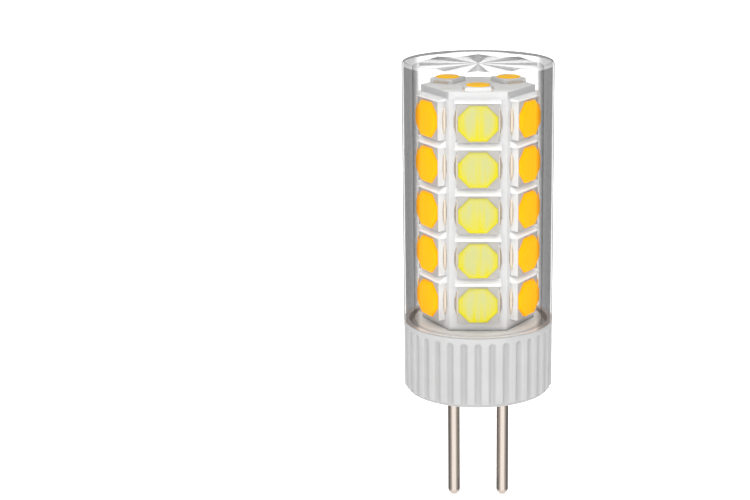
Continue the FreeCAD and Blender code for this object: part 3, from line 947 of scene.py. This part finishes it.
class LAMP_OT_stage(bpy.types.Operator):
    """Sets the pale floor, the soft light round the lamp and the camera"""
    bl_idname = "lamp.stage"
    bl_label = "Stage"

    # Where the light from overhead and from below sets in, between straight down, 0, and straight up, 1
    ABOVE_STOPS = [(0.68, 0), (0.88, 1)]
    BELOW_STOPS = [(0.12, 1), (0.3, 0)]
    # Keeps the heading of a direction straight up or down from dividing by zero
    LEAST_LEVEL = 1e-4

    def execute(self, context):
        s = context.scene.corn_lamp.stage
        self.lay_floor(context, s)
        self.light_world(context, s)
        self.hang_panel(context, "front panel", s.front_place, s.front_size, s.front_power)
        self.hang_panel(context, "right panel", s.right_place, s.right_size, s.right_power)
        self.hang_panel(context, "back panel", s.back_place, s.back_size, s.back_power)
        self.place_camera(context, s)
        context.scene.view_settings.view_transform = "Standard"
        return {"FINISHED"}

    def lay_floor(self, context, s):
        """A pale floor at the pins' tips."""
        bm = bmesh.new()
        bmesh.ops.create_grid(bm, x_segments=1, y_segments=1, size=s.floor_size / 2)
        bmesh.ops.translate(bm, vec=(0, 0, cad_low.z), verts=bm.verts)
        mesh = bpy.data.meshes.new("pale_floor")
        bm.to_mesh(mesh)
        bm.free()
        material = new_material("pale floor")
        tree = material.node_tree
        clouds = noise(tree, size=40 * MM)
        principled(tree, {
            "Base Color": vary_colour(tree, clouds, s.floor_deep, s.floor_pale, spread=0.3),
            "Roughness": 0.8,
            "Specular IOR Level": 0,
            "Emission Color": plain_grey(1),
            "Emission Strength": s.floor_glow,
        })
        mesh.materials.append(material)
        floor = bpy.data.objects.new("pale_floor", mesh)
        context.scene.collection.objects.link(floor)
        floor.visible_transmission = False
        floor.visible_glossy = False

    def light_world(self, context, s):
        """Light by direction: bright in front and overhead, greyer at the sides, softer behind."""
        world = bpy.data.worlds.new("studio light")
        context.scene.world = world
        world.use_nodes = True
        tree = world.node_tree
        tree.nodes.clear()
        peak = max(s.front_light, s.top_light, s.back_light)

        def share(light):
            """A brightness as a share of the brightest."""
            return light / peak

        def from_back(degrees):
            """Where a heading, measured from straight behind, lies on the ring's ramp."""
            return 0.5 + 0.5 * math.cos(math.radians(degrees))

        direction = add_node(tree, "TexCoord").outputs["Generated"]
        x, y, z = add_node(tree, "SeparateXYZ", {"Vector": direction}).outputs
        squares = [arithmetic(tree, "MULTIPLY", axis, axis) for axis in (x, y)]
        level = arithmetic(tree, "SQRT", arithmetic(tree, "ADD", *squares))
        heading = arithmetic(tree, "DIVIDE", y, arithmetic(tree, "MAXIMUM", level, self.LEAST_LEVEL))
        along = arithmetic(tree, "MULTIPLY_ADD", heading, 0.5, 0.5)
        tall = arithmetic(tree, "MULTIPLY_ADD", z, 0.5, 0.5)
        ring = grey_ramp(tree, along, [
            (from_back(150), share(s.front_light)),
            (from_back(135), share(s.front_quarter_light)),
            (from_back(95), share(s.side_light)),
            (from_back(42), share(s.side_light)),
            (from_back(20), share(s.back_light)),
        ], "EASE")
        above = grey_ramp(tree, tall, self.ABOVE_STOPS, "EASE")
        below = grey_ramp(tree, tall, self.BELOW_STOPS, "EASE")
        roofed = mix_colours(tree, above, ring, plain_grey(share(s.top_light)))
        glow = mix_colours(tree, below, roofed, plain_grey(share(s.ground_light)))
        lit = add_node(tree, "Background", {"Color": glow, "Strength": peak})

        # The camera itself sees a plain white room
        plain = add_node(tree, "Background", {"Color": plain_grey(1)})
        seen = add_node(tree, "LightPath").outputs["Is Camera Ray"]
        choose = add_node(tree, "MixShader", {0: seen, 1: lit.outputs[0], 2: plain.outputs[0]})
        add_node(tree, "OutputWorld", {"Surface": choose.outputs[0]})

    def hang_panel(self, context, name, place, size, power):
        """A square light that looks at the middle of the lamp."""
        data = bpy.data.lights.new(name, "AREA")
        data.size = size
        data.energy = power
        panel = bpy.data.objects.new(name, data)
        panel.location = place
        aim = (cad_low + cad_high) / 2 - panel.location
        panel.rotation_euler = aim.to_track_quat("-Z", "Y").to_euler()
        panel.visible_glossy = False
        context.scene.collection.objects.link(panel)

    def place_camera(self, context, s):
        """A camera in front of the lamp that looks down a little."""
        data = bpy.data.cameras.new("camera")
        data.lens = s.lens
        data.shift_x = s.shift
        data.clip_start = 10 * MM
        camera = bpy.data.objects.new("camera", data)
        camera.location = (0, -s.camera_distance, s.camera_height)
        camera.rotation_euler = (math.pi / 2 - s.camera_tilt, 0, 0)
        context.scene.collection.objects.link(camera)
        context.scene.camera = camera


class LAMP_PT_panel(bpy.types.Panel):
    """Lists the steps that build the lamp"""
    bl_idname = "LAMP_PT_panel"
    bl_label = "Corn LED bulb"
    bl_space_type = "VIEW_3D"
    bl_region_type = "UI"
    bl_category = "Corn Bulb"

    def draw(self, context):
        for operator in OPERATORS:
            self.layout.operator(operator.bl_idname)


OPERATORS = (LAMP_OT_cover, LAMP_OT_base, LAMP_OT_pins, LAMP_OT_carrier, LAMP_OT_packages, LAMP_OT_top,
             LAMP_OT_boards, LAMP_OT_stage)
GROUPS = (CoverSettings, BaseSettings, PinSettings, CoreSettings, PackageSettings, StageSettings,
          LampSettings)
CLASSES = GROUPS + OPERATORS + (LAMP_PT_panel,)


def register():
    """Adds the classes and the scene's settings."""
    for cls in CLASSES:
        bpy.utils.register_class(cls)
    bpy.types.Scene.corn_lamp = PointerProperty(
        name="Corn LED bulb", description="Sizes and colours of the lamp", type=LampSettings)


def unregister():
    """Takes them away again."""
    del bpy.types.Scene.corn_lamp
    for cls in reversed(CLASSES):
        bpy.utils.unregister_class(cls)


def main():
    """Builds the lamp and its studio."""
    register()
    bpy.ops.lamp.cover()
    bpy.ops.lamp.base()
    bpy.ops.lamp.pins()
    bpy.ops.lamp.carrier()
    bpy.ops.lamp.packages()
    bpy.ops.lamp.top()
    bpy.ops.lamp.boards()
    bpy.ops.lamp.stage()


if __name__ == "__main__":
    main()
